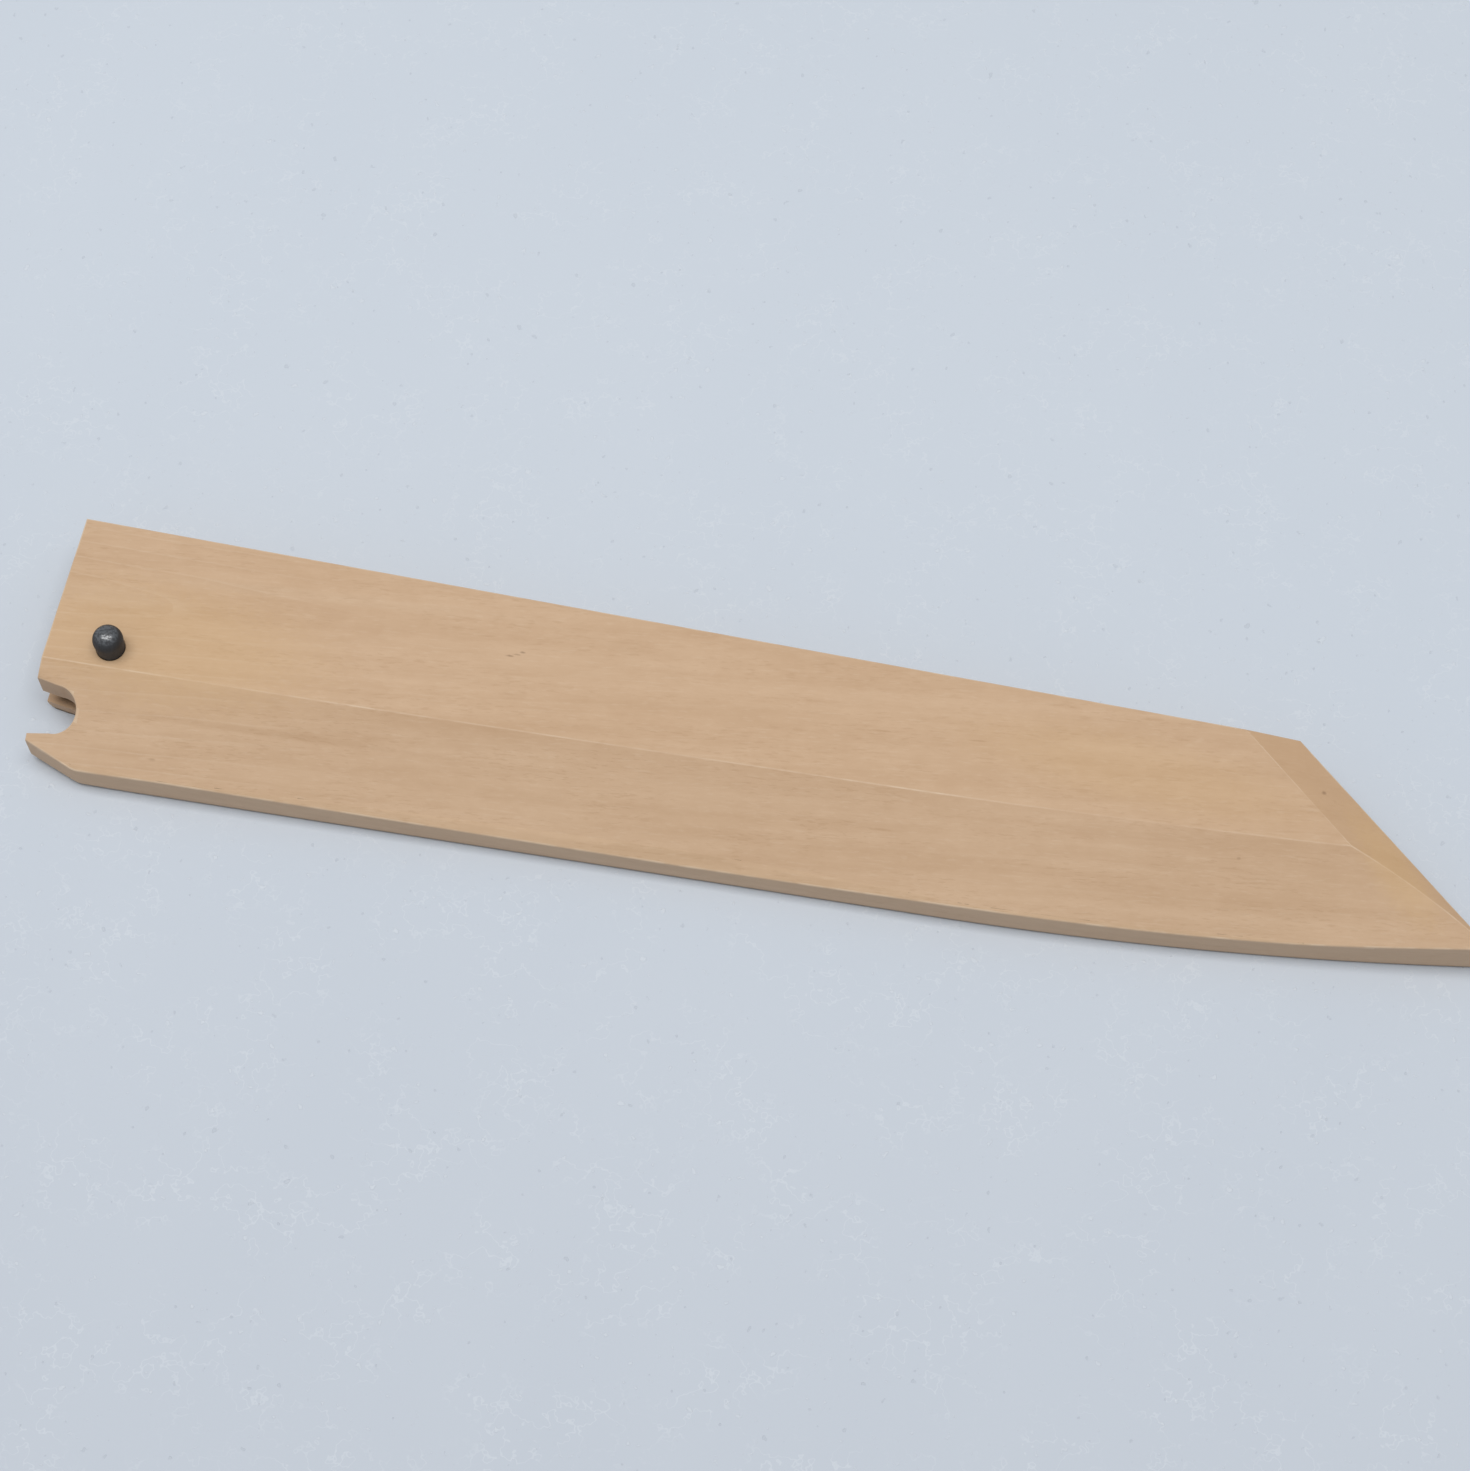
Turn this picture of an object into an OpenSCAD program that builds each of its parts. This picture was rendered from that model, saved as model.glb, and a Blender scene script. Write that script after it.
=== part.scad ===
// Wooden guard for a kitchen slicer's blade, with an angled tip.
// Five pieces of pale wood are glued up in three layers round a flat slot:
// a back board, a core of three strips, and a thicker front board. The front
// is planed to two long facets that meet at a ridge, and a bevel at the tip.
// A dark tapered peg goes through both boards and locks the blade in.
//
// The guard lies on its back. X runs from the mouth to the tip, Y from the
// cutting edge side to the spine side, and Z from the back to the front.
// In plan, sizes are measured along from the mouth and across from the spine.

/* [Outline] */
// Overall length, from the mouth to the point of the tip
sheath_length = 262; // [245:1:300]
// How far the angled end runs back from the point to the spine
tip_run = 38.2; // [30:0.2:46]
// Overall width, from the spine to the heel
heel_width = 46.5; // [43:0.1:54]
// Radius of the round at the heel corner
heel_round = 5; // [3:0.5:10]
// Distance of that round's centre from the mouth
heel_setback = 10.4; // [9.2:0.1:15]
// Angle at which the edge side closes towards the spine
edge_taper = 2; // [1:0.05:2.5]
// Where the straight edge side turns into the belly
belly_start = 165.5; // [140:0.5:185]
// Radius of the belly
belly_radius = 730; // [620:10:1200]
// Angle of the slope from the heel to the end of the spur
spur_slope = 20; // [15:0.2:24]

/* [Facets] */
// Thickness of the guard at the spine and along the ridge
thickness = 13.7; // [12.5:0.1:16]
// Distance from the spine to the ridge, at the mouth
ridge_at_mouth = 28.8; // [24:0.2:32]
// Angle at which the ridge closes towards the spine
ridge_taper = 2.44; // [1:0.01:2.6]
// Fall of the lower facet, from the ridge to the edge side
lower_fall = 21.8; // [16:0.2:23]
// Length of the tip bevel along the spine
bevel_length = 9.9; // [6:0.1:14]
// Angle between the spine and the inner line of the tip bevel
bevel_heading = 41.6; // [40:0.2:47]
// How far the tip bevel drops at the spine, where it is shallowest
bevel_drop = 0.65; // [0.4:0.05:2]

/* [Layers] */
// Thickness of the back board
back_ply = 2.6; // [2:0.1:3.4]
// Gap between the boards, which the blade slides into
slot_gap = 4.2; // [3:0.1:5]
// Width of the strip along the spine
spine_strip_w = 4; // [3:0.1:6]
// Width of the strip along the edge side
edge_strip_w = 4.8; // [3.5:0.1:5.5]
// Width of the block along the angled tip
tip_block_w = 9; // [6:0.2:12]

/* [Heel notch] */
// Depth of the notch in from the mouth
notch_depth = 8.1; // [7:0.1:10]
// Width of the notch at the mouth
notch_width = 9.4; // [8:0.1:11]
// Diameter of the notch's round end
notch_end_d = 8.1; // [6:0.1:9]
// Width of the spur's blunt end, between the notch and the slope
spur_end_w = 1.2; // [0.9:0.1:3]

/* [Peg] */
// Distance of the peg's axis from the mouth
peg_from_mouth = 11.7; // [11:0.1:18]
// Distance of the peg's axis from the spine
peg_from_spine = 24.7; // [12:0.1:27]
// Diameter of the peg at its widest, under the domed top
peg_head_d = 5.6; // [5:0.1:7]
// Diameter of the peg's thin end
peg_end_d = 3.4; // [2.8:0.1:4]
// How far the peg stands above the front board
peg_stand = 5.6; // [4:0.1:7]
// Height of the peg's domed top
peg_dome = 2; // [1:0.1:2.4]
// How far the peg's thin end stops short of the back
peg_recess = 0.3; // [0.1:0.1:1]
// Clearance round the peg in its holes
peg_clearance = 0.05; // [0.02:0.01:0.1]

/* [Hidden] */
$fn = 96;
board_wood = [0.80, 0.68, 0.54];
core_wood = [0.77, 0.65, 0.51];
peg_black = [0.15, 0.15, 0.16];

// Straight pieces that stand in for each curve, fine enough not to show
belly_steps = 24;
heel_steps = 8;
// How far a cutter reaches past what it cuts
over = 5;

// A place in plan, from the mouth and the spine, in the guard's own frame
function at(along, across) = [along - sheath_length / 2, heel_width / 2 - across];

// Heel corner: the edge side and the spur's slope both touch its round
heel_centre = [heel_setback, heel_width - heel_round];
edge_touch = heel_centre + heel_round * [sin(edge_taper), cos(edge_taper)];
slope_touch = heel_centre + heel_round * [-sin(spur_slope), cos(spur_slope)];
spur_outer = slope_touch[1] - slope_touch[0] * tan(spur_slope);

// Edge side: a straight line, then the belly's arc, which touches that line
belly_across = edge_touch[1] - (belly_start - edge_touch[0]) * tan(edge_taper);
belly_centre = [belly_start, belly_across] - belly_radius * [sin(edge_taper), cos(edge_taper)];
function arc_along(inset) = belly_centre[0] + (belly_radius - inset) * sin(edge_taper);
function edge_line(along, inset) =
    edge_touch[1] - (along - edge_touch[0]) * tan(edge_taper) - inset / cos(edge_taper);
function edge_arc(along, inset) =
    belly_centre[1] + sqrt(pow(belly_radius - inset, 2) - pow(along - belly_centre[0], 2));
function edge_across(along, inset = 0) =
    along < arc_along(inset) ? edge_line(along, inset) : edge_arc(along, inset);

// Tip: the point lies on the belly, and the angled end runs straight to the spine
spine_length = sheath_length - tip_run;
tip_across = edge_across(sheath_length);
tip_heading = atan2(tip_across, tip_run);
block_along = spine_length - tip_block_w / sin(tip_heading);
function block_line(across) = block_along + across / tan(tip_heading);

// Layers
front_inside = back_ply + slot_gap;

// Tip bevel: two planes meet in a crease, which runs from the end of the ridge
// to the spine's end. Places here are [along, across, height].
function facet_height(along, across) = thickness - tan(lower_fall)
    * ((across - ridge_at_mouth) * cos(ridge_taper) + along * sin(ridge_taper));
bevel_along = spine_length - bevel_length;
bevel_run = (ridge_at_mouth - bevel_along * tan(ridge_taper))
    / (sin(bevel_heading) + cos(bevel_heading) * tan(ridge_taper));
ridge_end = [bevel_along + bevel_run * cos(bevel_heading), bevel_run * sin(bevel_heading), thickness];
spine_end = [spine_length, 0, thickness - bevel_drop];
point_end = [sheath_length, tip_across, facet_height(sheath_length, tip_across)];
bevel_fall = atan(bevel_drop / (bevel_length * sin(bevel_heading)));
point_normal = cross(point_end - ridge_end, spine_end - ridge_end);
point_heading = atan2(point_normal[0], point_normal[1]);
point_fall = atan(norm([point_normal[0], point_normal[1]]) / abs(point_normal[2]));

// Notch: a round end between two sides that open out towards the mouth
notch_across = spur_outer - spur_end_w - notch_width / 2;
notch_centre = notch_depth - notch_end_d / 2;
notch_opening = (notch_width - notch_end_d) / (2 * notch_centre);

// Peg: one taper runs from its thin end up to the dome, and the holes follow it
peg_rim = thickness + peg_stand - peg_dome;
function peg_r(height) =
    (peg_end_d + (peg_head_d - peg_end_d) * (height - peg_recess) / (peg_rim - peg_recess)) / 2;
dome_r = (pow(peg_head_d / 2, 2) + pow(peg_dome, 2)) / (2 * peg_dome);

// The whole guard seen from the front, before the notch is cut
module outline_plan() {
    belly = [for (i = [0 : belly_steps])
        let (along = sheath_length - i * (sheath_length - belly_start) / belly_steps)
        at(along, edge_across(along))];
    heel = [for (i = [0 : heel_steps])
        let (turn = edge_taper - i * (edge_taper + spur_slope) / heel_steps,
            place = heel_centre + heel_round * [sin(turn), cos(turn)])
        at(place[0], place[1])];
    polygon(concat([at(0, 0), at(spine_length, 0)], belly, heel, [at(0, spur_outer)]));
}

// Everything on the mouth's side of the tip block
module behind_block_plan() {
    far = heel_width + over;
    polygon([at(-over, -over), at(block_line(-over), -over), at(block_line(far), far), at(-over, far)]);
}

// Everything between the spine and the inner side of the edge strip
module inside_edge_plan() {
    ends = [-over, sheath_length + over];
    inner_start = arc_along(edge_strip_w);
    inner_arc = [for (i = [0 : belly_steps])
        let (along = ends[1] - i * (ends[1] - inner_start) / belly_steps)
        at(along, edge_across(along, edge_strip_w))];
    polygon(concat([at(ends[0], -over), at(ends[1], -over)], inner_arc,
        [at(ends[0], edge_across(ends[0], edge_strip_w))]));
}

// Outline of the heel notch, open at the mouth
module notch_plan() {
    end_half = notch_end_d / 2;
    mouth_half = notch_width / 2 + over * notch_opening;
    translate(at(notch_centre, notch_across)) circle(d = notch_end_d);
    polygon([
        at(-over, notch_across - mouth_half), at(notch_centre, notch_across - end_half),
        at(notch_centre, notch_across + end_half), at(-over, notch_across + mouth_half)]);
}

// What a plane takes off: it starts on a line across the front and falls to
// the left of that line's heading
module facet_waste(along, across, heading, fall) {
    reach = sheath_length + heel_width;
    translate(concat(at(along, across), thickness)) rotate([0, 0, heading]) rotate([-fall, 0, 0])
        translate([-reach, 0, 0]) cube([2 * reach, reach, reach]);
}

// Everything that the plane and the notch saw take off the glued-up blank
module waste() {
    facet_waste(0, ridge_at_mouth, 180 + ridge_taper, lower_fall);
    facet_waste(bevel_along, 0, -bevel_heading, bevel_fall);
    facet_waste(ridge_end[0], ridge_end[1], point_heading, point_fall);
    translate([0, 0, -over]) linear_extrude(height = thickness + 2 * over) notch_plan();
}

// Tapered hole through the whole guard, which the peg fills
module peg_hole() {
    translate(concat(at(peg_from_mouth, peg_from_spine), -over))
        cylinder(h = thickness + 2 * over, r1 = peg_r(-over) + peg_clearance,
            r2 = peg_r(thickness + over) + peg_clearance);
}

// Thick board with the planed front
module front_board() {
    color(board_wood) difference() {
        translate([0, 0, front_inside]) linear_extrude(height = thickness - front_inside) outline_plan();
        waste();
        peg_hole();
    }
}

// Thin flat board that the guard lies on
module back_board() {
    color(board_wood) difference() {
        linear_extrude(height = back_ply) outline_plan();
        waste();
        peg_hole();
    }
}

// Straight strip of the core, behind the blade's spine
module spine_strip() {
    color(core_wood) difference() {
        translate([0, 0, back_ply]) linear_extrude(height = slot_gap) polygon([
            at(0, 0), at(block_line(0), 0),
            at(block_line(spine_strip_w), spine_strip_w), at(0, spine_strip_w)]);
        waste();
    }
}

// Bowed strip of the core, in front of the cutting edge, with the spur at its end
module edge_strip() {
    color(core_wood) difference() {
        translate([0, 0, back_ply]) linear_extrude(height = slot_gap) difference() {
            intersection() {
                outline_plan();
                behind_block_plan();
            }
            inside_edge_plan();
        }
        waste();
    }
}

// Block of the core that closes the slot along the angled tip
module tip_block() {
    color(core_wood) difference() {
        translate([0, 0, back_ply]) linear_extrude(height = slot_gap) difference() {
            outline_plan();
            behind_block_plan();
        }
        waste();
    }
}

// Turned peg: a long taper with a domed top
module retaining_peg() {
    color(peg_black) translate(at(peg_from_mouth, peg_from_spine)) {
        translate([0, 0, peg_recess]) cylinder(h = peg_rim - peg_recess, d1 = peg_end_d, d2 = peg_head_d);
        intersection() {
            translate([0, 0, thickness + peg_stand - dome_r]) sphere(r = dome_r);
            translate([0, 0, peg_rim]) cylinder(h = peg_dome + over, d = peg_head_d);
        }
    }
}

front_board();
back_board();
spine_strip();
edge_strip();
tip_block();
retaining_peg();
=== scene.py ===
"""Looks of the wooden blade guard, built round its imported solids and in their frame.

The five pieces of wood are planed from one blank, as the real ones are: the blank is worked out as a
height over the plan, the notch and the peg's hole are cut from it, and each piece is the part of it
that lies in its own layer. Lengths in the classes are millimetres, and a plan place is given along
from the mouth and across from the spine. Meshes are in metres.
"""

from __future__ import annotations

import logging
import math
from collections.abc import Iterable
from dataclasses import dataclass
from enum import Enum

import bmesh
import bpy
from bpy.types import Material, Mesh, Node, NodeSocket as Socket, NodeTree, Object
import numpy as np
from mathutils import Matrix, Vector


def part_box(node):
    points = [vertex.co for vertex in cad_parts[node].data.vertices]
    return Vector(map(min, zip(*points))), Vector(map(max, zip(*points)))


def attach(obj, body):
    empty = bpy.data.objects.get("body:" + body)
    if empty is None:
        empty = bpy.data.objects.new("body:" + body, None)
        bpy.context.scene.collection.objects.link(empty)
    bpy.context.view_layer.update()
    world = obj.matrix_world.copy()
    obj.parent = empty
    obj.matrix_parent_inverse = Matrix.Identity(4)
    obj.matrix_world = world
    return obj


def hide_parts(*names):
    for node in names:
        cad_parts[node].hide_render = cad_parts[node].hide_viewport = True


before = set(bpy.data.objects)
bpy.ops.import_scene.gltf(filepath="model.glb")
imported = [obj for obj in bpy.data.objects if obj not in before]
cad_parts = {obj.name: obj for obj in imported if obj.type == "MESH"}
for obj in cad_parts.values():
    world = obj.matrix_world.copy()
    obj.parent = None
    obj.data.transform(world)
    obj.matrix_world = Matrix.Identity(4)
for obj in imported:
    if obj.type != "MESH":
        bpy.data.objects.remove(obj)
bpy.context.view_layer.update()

MM = 0.001
SAME_PLACE = 2e-6
NO_LENGTH = 1e-7
NUMBER, VECTOR = "NodeSocketFloat", "NodeSocketVector"
MIX_SHARE, MIX_FIRST, MIX_SECOND, MIX_RESULT = 0, 6, 7, 2
Array = np.ndarray
Colour = tuple[int, int, int]
Triple = tuple[float, float, float]
log = logging.getLogger("blade_guard")


class Cut(Enum):
    """What a tool solid does to a piece of wood."""

    TAKE_AWAY = "DIFFERENCE"
    KEEP_INSIDE = "INTERSECT"


def srgb(red: int, green: int, blue: int) -> tuple[float, float, float, float]:
    """Turns a colour as seen on a screen into the linear colour that a shader takes.

    Args:
        red: Red, from 0 to 255.
        green: Green, from 0 to 255.
        blue: Blue, from 0 to 255.

    Returns:
        The linear colour, with an alpha of 1.
    """
    seen = np.array([red, green, blue]) / 255
    linear = np.where(seen <= 0.04045, seen / 12.92, ((seen + 0.055) / 1.055) ** 2.4)
    return (float(linear[0]), float(linear[1]), float(linear[2]), 1.0)


def span_mm(node: str) -> tuple[Array, Array]:
    """Gives a CAD node's lowest and highest corners at rest, in millimetres in the row frame."""
    low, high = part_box(node)
    return np.array(low) / MM, np.array(high) / MM


def new_object(name: str, points: Array, faces: list[list[int]]) -> Object:
    """Makes a mesh object at the origin, with doubled points merged and faces turned outwards.

    Args:
        name: Name of the object and its mesh.
        points: Places in the row frame, in millimetres, one row each.
        faces: Point numbers of each face.

    Returns:
        The object, linked to the scene.
    """
    mesh = bpy.data.meshes.new(name)
    mesh.from_pydata((points * MM).tolist(), [], faces)
    made = bpy.data.objects.new(name, mesh)
    bpy.context.scene.collection.objects.link(made)
    tidy_mesh(mesh)
    return made


def tidy_mesh(mesh: Mesh) -> None:
    """Merges doubled points and turns all faces outwards.

    Args:
        mesh: The mesh to tidy.
    """
    work = bmesh.new()
    work.from_mesh(mesh)
    bmesh.ops.remove_doubles(work, verts=work.verts, dist=SAME_PLACE)
    bmesh.ops.dissolve_degenerate(work, edges=work.edges, dist=NO_LENGTH)
    bmesh.ops.recalc_face_normals(work, faces=work.faces)
    work.to_mesh(mesh)
    work.free()


def stack_rings(name: str, rings: Array) -> Object:
    """Makes a closed solid from rings of points that are stacked row on row.

    Args:
        name: Name of the object and its mesh.
        rings: Places of each ring's points in the row frame, in millimetres.

    Returns:
        The solid, linked to the scene.
    """
    rows, around = rings.shape[:2]
    row, place = np.meshgrid(np.arange(rows - 1), np.arange(around), indexing="ij")
    here = row * around + place
    beside = row * around + (place + 1) % around
    faces = np.stack([here, beside, beside + around, here + around], axis=-1).reshape(-1, 4).tolist()
    faces.append(list(range(around))[::-1])
    faces.append(list(range((rows - 1) * around, rows * around)))
    return new_object(name, rings.reshape(-1, 3), faces)


def smooth_up_to(mesh: Mesh, degrees: float) -> None:
    """Shades a mesh smooth, apart from corners that turn more than that many degrees."""
    mesh.polygons.foreach_set("use_smooth", np.ones(len(mesh.polygons), bool))
    mesh.set_sharp_from_angle(angle=math.radians(degrees))


def read_rows(parts: bpy.types.bpy_prop_collection, what: str) -> Array:
    """Reads a place or a direction of every face or point of a mesh.

    Args:
        parts: The mesh's faces or points.
        what: Name of the place or direction.

    Returns:
        The values, one row of three each.
    """
    values = np.zeros(len(parts) * 3, np.float32)
    parts.foreach_get(what, values)
    return values.reshape(-1, 3)


def shape_with(piece: Object, tool: Object, cut: Cut) -> None:
    """Cuts a piece with a tool solid and keeps the result in its mesh.

    Args:
        piece: The piece to cut.
        tool: The closed solid that cuts it.
        cut: What the tool does.
    """
    modifier = piece.modifiers.new("cut", "BOOLEAN")
    modifier.operation = cut.value
    modifier.solver = "EXACT"
    modifier.object = tool
    depsgraph = bpy.context.evaluated_depsgraph_get()
    shaped = bpy.data.meshes.new_from_object(piece.evaluated_get(depsgraph))
    piece.modifiers.clear()
    before = piece.data
    piece.data = shaped
    bpy.data.meshes.remove(before)


@dataclass(frozen=True)
class Blank:
    """The glued-up and planed blank of wood, in millimetres and degrees."""

    length: float
    width: float
    thickness: float
    spine_side: float
    tip_run: float = 38.2
    heel_round: float = 5.0
    heel_setback: float = 10.4
    edge_taper: float = 2.0
    belly_start: float = 165.5
    belly_radius: float = 730.0
    spur_slope: float = 20.0
    ridge_at_mouth: float = 28.8
    ridge_taper: float = 2.44
    lower_fall: float = 21.8
    bevel_length: float = 9.9
    bevel_heading: float = 41.6
    bevel_drop: float = 0.65
    bevel_bow: float = 0.8
    notch_depth: float = 8.1
    notch_width: float = 9.4
    notch_end_d: float = 8.1
    spur_end_w: float = 1.2
    arris: float = 0.26
    back_arris: float = 0.7
    back_arris_at_mouth: float = 2.4
    back_ease_run: float = 24.0
    ridge_bow: tuple[tuple[float, float], ...] = (
        (0, 0.1), (17, 0.4), (55, 0.9), (110, 1.2), (160, 1.4), (175, 1.35), (205, 0.9), (225, 0.4), (235, 0))
    edge_wave: tuple[tuple[float, float], ...] = (
        (0, 0), (14, -0.1), (25, 0.3), (50, 0), (85, -0.35), (120, -0.5), (145, -0.1), (172, 0.6),
        (190, 0.46), (212, 0.05), (229, -0.25), (240, 0.1), (252, 0.5), (262, 0.55))
    crease_blend: float = 0.06
    # Strength of the ridge's pale line by place along: rubbed wood with a painted highlight.
    ridge_wear_and_sheen: tuple[tuple[float, float], ...] = (
        (0, 0.8), (15, 1.0), (25, 1.2), (30, 0.6), (45, 0.5), (52, 0.9), (60, 0.8), (68, 0.4), (82, 0.4),
        (92, 0.6), (110, 0.35), (130, 0.5), (145, 0.7), (165, 1.0), (175, 0.7), (183, 0.4), (190, 0.1),
        (205, 0.1), (212, 0.4), (220, 0.7), (228, 0.5), (236, 0.9))
    flank_fall: float = 1.8
    bevel_point_share: float = 0.5
    notch_ease: float = 0.7
    least_run: float = 0.001
    rows_between: int = 5
    notch_points: int = 49
    section_counts: tuple[int, ...] = (5, 12, 32, 26, 12, 12, 24)
    over: float = 5.0

    @property
    def heel_centre(self) -> Array:
        """Centre of the round at the heel corner."""
        return np.array([self.heel_setback, self.width - self.heel_round])

    @property
    def spur_outer(self) -> float:
        """Where the spur's slope reaches the mouth.

        Returns:
            The place across from the spine.
        """
        slope = math.radians(self.spur_slope)
        touch = self.heel_centre + self.heel_round * np.array([-math.sin(slope), math.cos(slope)])
        return float(touch[1] - touch[0] * math.tan(slope))

    @property
    def spine_length(self) -> float:
        """Length of the spine, up to the angled end."""
        return self.length - self.tip_run

    @property
    def bevel_along(self) -> float:
        """Where the tip bevel's inner line leaves the spine."""
        return self.spine_length - self.bevel_length

    @property
    def ridge_end(self) -> float:
        """Where the ridge runs into the tip bevel.

        Returns:
            The place along from the mouth.
        """
        taper = math.tan(math.radians(self.ridge_taper))
        climb = math.tan(math.radians(self.bevel_heading))
        return (self.ridge_at_mouth + self.bevel_along * climb) / (climb + taper)

    @property
    def notch_centre(self) -> Array:
        """Centre of the notch's round end, along and across."""
        across = self.spur_outer - self.spur_end_w - self.notch_width / 2
        return np.array([self.notch_depth - self.notch_end_d / 2, across])

    @property
    def rim_steps(self) -> Array:
        """Where the eased arrises are followed.

        Returns:
            Distances in from the sides, in rising order.
        """
        quarter = 1 - np.cos(np.radians([0, 30, 60, 90]))
        radii = (self.arris, self.back_arris, self.back_arris_at_mouth)
        return np.unique(np.concatenate([radius * quarter for radius in radii]))

    @property
    def tip_across(self) -> float:
        """How far the tip's point lies from the spine."""
        return float(self.edge(np.array([self.length]))[0])

    def edge(self, along: Array, inset: float = 0.0) -> Array:
        """Line of the edge side, or a line inside it.

        It is the spur's slope up to the heel's round, that round's arc, a straight line that closes
        by the taper, and from the belly's start an arc that touches that line.

        Args:
            along: Places along from the mouth.
            inset: How far inside the edge side the line runs.

        Returns:
            Distance of the line from the spine at each place.
        """
        taper, slope = math.radians(self.edge_taper), math.radians(self.spur_slope)
        centre, radius = self.heel_centre, self.heel_round
        touch = centre + radius * np.array([math.sin(taper), math.cos(taper)])
        belly = touch[1] - (self.belly_start - touch[0]) * math.tan(taper)
        belly_centre = (self.belly_start - self.belly_radius * math.sin(taper),
                        belly - self.belly_radius * math.cos(taper))
        straight = touch[1] - (along - touch[0]) * math.tan(taper) - inset / math.cos(taper)
        bowed_r = self.belly_radius - inset
        reach = np.clip(bowed_r**2 - (along - belly_centre[0]) ** 2, 0, None)
        bowed = belly_centre[1] + np.sqrt(reach)
        line = np.where(along < belly_centre[0] + bowed_r * math.sin(taper), straight, bowed)
        if inset > 0:
            return line
        round_part = centre[1] + np.sqrt(np.clip(radius**2 - (along - centre[0]) ** 2, 0, None))
        line = np.where(along < touch[0], round_part, line)
        sloped = self.spur_outer + along * math.tan(slope)
        return np.where(along < centre[0] - radius * math.sin(slope), sloped, line)

    def spine(self, along: Array) -> Array:
        """Line of the spine, and after it the angled end: its distance from the spine, 0 at first."""
        return np.clip((along - self.spine_length) * self.tip_across / self.tip_run, 0, None)

    def ridge(self, along: Array) -> Array:
        """Line of the ridge: it closes towards the spine by its taper, and bows out as it was planed."""
        straight = self.ridge_at_mouth - along * math.tan(math.radians(self.ridge_taper))
        return straight + np.interp(along, *np.array(self.ridge_bow).T)

    def bevel_line(self, along: Array) -> Array:
        """Inner line of the tip bevel: straight to the ridge, then bowed a little to the point.

        Args:
            along: Places along from the mouth, from where the bevel leaves the spine.

        Returns:
            Distance of the line from the spine at each place.
        """
        climb = math.tan(math.radians(self.bevel_heading))
        first = (along - self.bevel_along) * climb
        ridge_across = (self.ridge_end - self.bevel_along) * climb
        share = np.clip((along - self.ridge_end) / (self.length - self.ridge_end), 0, 1)
        second = ridge_across + share * (self.tip_across - ridge_across)
        return np.where(share > 0, second - self.bevel_bow * 4 * share * (1 - share), first)

    def facet_height(self, along: Array, across: Array) -> Array:
        """Height of the lower facet, which falls away from the ridge.

        A plane gives its height at the edge side, where the hand-planed face waves a little about
        it. Between the ridge and that line it is straight across.

        Args:
            along: Places along from the mouth.
            across: Places across from the spine.

        Returns:
            The height at each place.
        """
        taper = math.radians(self.ridge_taper)
        side, ridge = self.edge(along), self.ridge(along)
        below = (side - self.ridge_at_mouth) * math.cos(taper) + along * math.sin(taper)
        wave = np.interp(along, *np.array(self.edge_wave).T)
        fall = math.tan(math.radians(self.lower_fall)) * below - wave
        return self.thickness - fall * (across - ridge) / (side - ridge)

    def bevel_height(self, along: Array, across: Array) -> Array:
        """Height of the tip bevel, a twisted face.

        At each place along, it is a straight line across, from the height of the outer line, which
        drops evenly to the spine's end and then to the point, up to the height of the inner line.

        Args:
            along: Places along from the mouth.
            across: Places across from the spine.

        Returns:
            The height at each place, far above the wood where there is no bevel.
        """
        tip_height = self.facet_height(np.array([self.length]), np.array([self.tip_across]))[0]
        spine_drop = (along - self.bevel_along) / self.bevel_length * self.bevel_drop
        end_share = (along - self.spine_length) / self.tip_run
        end_height = self.thickness - self.bevel_drop
        outer = np.where(along < self.spine_length, self.thickness - spine_drop,
                         end_height + end_share * (tip_height - end_height))
        inner_across = self.bevel_line(along)
        inner = np.minimum(self.thickness, self.facet_height(along, inner_across))
        start = self.spine(along)
        run = np.clip(inner_across - start, self.least_run, None)
        height = outer + (inner - outer) * (across - start) / run
        return np.where(along > self.bevel_along, height, self.thickness + self.over)

    def blend_lower(self, first: Array, second: Array) -> Array:
        """The lower of two heights, with the crease between them eased by a short curve."""
        share = np.clip(0.5 + 0.5 * (second - first) / self.crease_blend, 0, 1)
        return second + (first - second) * share - self.crease_blend * share * (1 - share)

    def rim_gap(self, along: Array, across: Array) -> Array:
        """Distance from the nearest side of the blank, seen from the front.

        Args:
            along: Places along from the mouth.
            across: Places across from the spine.

        Returns:
            The distance at each place, below 0 outside the blank.
        """
        end_lean = math.cos(math.atan2(self.tip_across, self.tip_run))
        from_spine = (across - self.spine(along)) * np.where(along > self.spine_length, end_lean, 1)
        return np.minimum(np.minimum(from_spine, self.edge(along) - across), along)

    def back_radius(self, along: Array) -> Array:
        """Radius of the back's eased arris, which grows towards the mouth."""
        share = np.clip(1 - along / self.back_ease_run, 0, 1)
        return self.back_arris + (self.back_arris_at_mouth - self.back_arris) * share**2

    def arris_drop(self, along: Array, across: Array, radius: Array) -> Array:
        """How far an eased arris, a quarter circle, lies inside its sharp corner: 0 beyond its radius."""
        inside = radius - np.clip(self.rim_gap(along, across), 0, radius)
        return radius - np.sqrt(np.clip(radius**2 - inside**2, 0, None))

    def front_height(self, along: Array, across: Array) -> Array:
        """Height of the planed front: the lowest of the flat, the lower facet and the tip bevel.

        Args:
            along: Places along from the mouth.
            across: Places across from the spine.

        Returns:
            The height at each place.
        """
        flat = np.full(along.shape, self.thickness)
        planed = self.blend_lower(self.blend_lower(flat, self.facet_height(along, across)),
                                  self.bevel_height(along, across))
        return planed - self.arris_drop(along, across, np.array(self.arris))

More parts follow.
